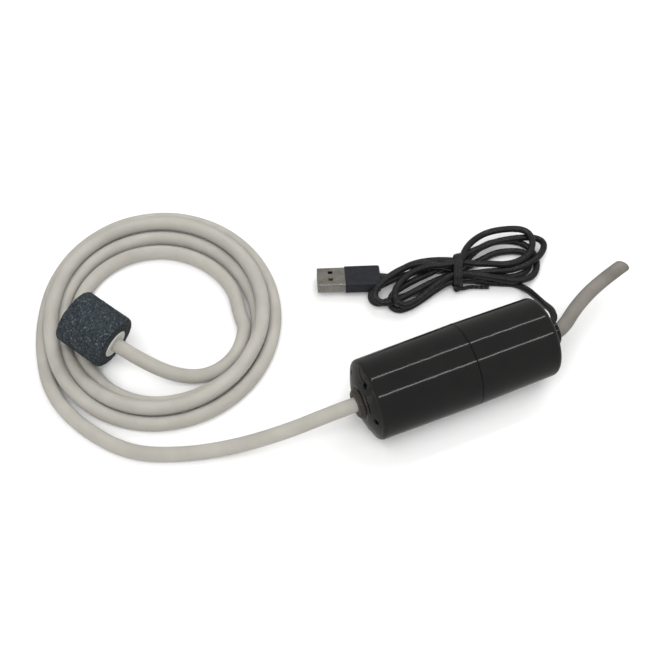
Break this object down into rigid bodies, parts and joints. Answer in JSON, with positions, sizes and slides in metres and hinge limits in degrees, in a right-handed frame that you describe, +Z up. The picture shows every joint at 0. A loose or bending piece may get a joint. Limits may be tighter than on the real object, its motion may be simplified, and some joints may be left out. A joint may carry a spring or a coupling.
{
  "type": "aquarium air pump",
  "caption": "Small USB diaphragm air pump in a glossy cylindrical case, with a coiled air hose, an air stone and a tied cable.",
  "frame": {"origin": "on the surface that the pump lies on, under the middle of the pump's length", "axes": "+X along the pump's axis from its air outlet to its cable end, +Y away from the hose's near side, +Z up"},
  "size_m": [0.2453, 0.1583, 0.0344],
  "materials": {
    "shell_plastic": "glossy black moulding",
    "collar_rubber": "dark soft rubber",
    "seal_rubber": "soft rubber",
    "damper_foam": "cellular rubber",
    "filter_felt": "felt",
    "zinc_steel": "zinc plated",
    "dark_steel": "laminated",
    "ferrite": "sintered magnet",
    "bronze": "sintered bronze",
    "copper": "enamelled wire",
    "carbon_brush": "spring bronze and carbon",
    "brass_contact": "plated",
    "white_nylon": "moulded",
    "grey_plastic": "moulded",
    "silicone_black": "moulded",
    "silicone_clear": "milky translucent",
    "tube_grey": "grey translucent",
    "cable_pvc": "smooth jacket",
    "wire_red": "insulation",
    "wire_black": "insulation",
    "nickel": "nickel plated",
    "plug_black": "overmoulded, fine texture",
    "tongue_black": "moulded",
    "stone_blue": "gritty sintered grains",
    "ferrule_white": "moulded",
    "tie_black": "wire tie"
  },
  "bodies": {
    "root": {"front_housing": "shell_plastic", "rear_housing": "shell_plastic", "seam_seal": "seal_rubber", "outlet_collar": "collar_rubber", "rear_grommet": "collar_rubber", "cable_stop": "zinc_steel", "inlet_filter": "filter_felt", "motor_can": "zinc_steel", "motor_end_cap": "grey_plastic", "field_magnets": "ferrite", "front_bearing": "bronze", "rear_bearing": "bronze", "brushes": "carbon_brush", "motor_terminals": "brass_contact", "head_base": "white_nylon", "diaphragm": "silicone_black", "valve_plate": "white_nylon", "intake_valves": "silicone_black", "exhaust_valve": "silicone_black", "head_cover": "white_nylon", "head_screws": "zinc_steel", "motor_screws": "zinc_steel", "front_damper": "damper_foam", "rear_damper": "damper_foam", "lead_wire_red": "wire_red", "lead_wire_black": "wire_black", "hose_lead": "silicone_clear", "hose_coil": "silicone_clear", "hose_tail": "silicone_clear", "air_stone": "stone_blue", "stone_ferrule": "ferrule_white", "intake_tube": "tube_grey", "usb_cable": "cable_pvc", "usb_hank": "cable_pvc", "twist_tie": "tie_black", "usb_shell": "nickel", "usb_tongue": "tongue_black", "usb_contacts": "brass_contact", "usb_grip": "plug_black", "plug_relief": "plug_black"},
    "rotor": {"motor_shaft": "zinc_steel", "rotor_core": "dark_steel", "rotor_windings": "copper", "commutator": "brass_contact", "eccentric": "grey_plastic", "crank_pin": "zinc_steel"},
    "wobbler": {"wobble_plate": "grey_plastic"}
  },
  "joints": [
    {"name": "rotor_spin", "type": "hinge", "parent": "root", "child": "rotor", "pos_m": [0, 0, 0.0172], "axis": [1, 0, 0], "continuous": true},
    {"name": "wobble_spin", "type": "hinge", "parent": "rotor", "child": "wobbler", "pos_m": [-0.0224, 0, 0.0172], "axis": [0.9903, 0, 0.1392], "continuous": true, "deforming": ["diaphragm"]}
  ],
  "couplings": [
    {"joint": "wobble_spin", "follows": "rotor_spin", "ratio": -1}
  ]
}
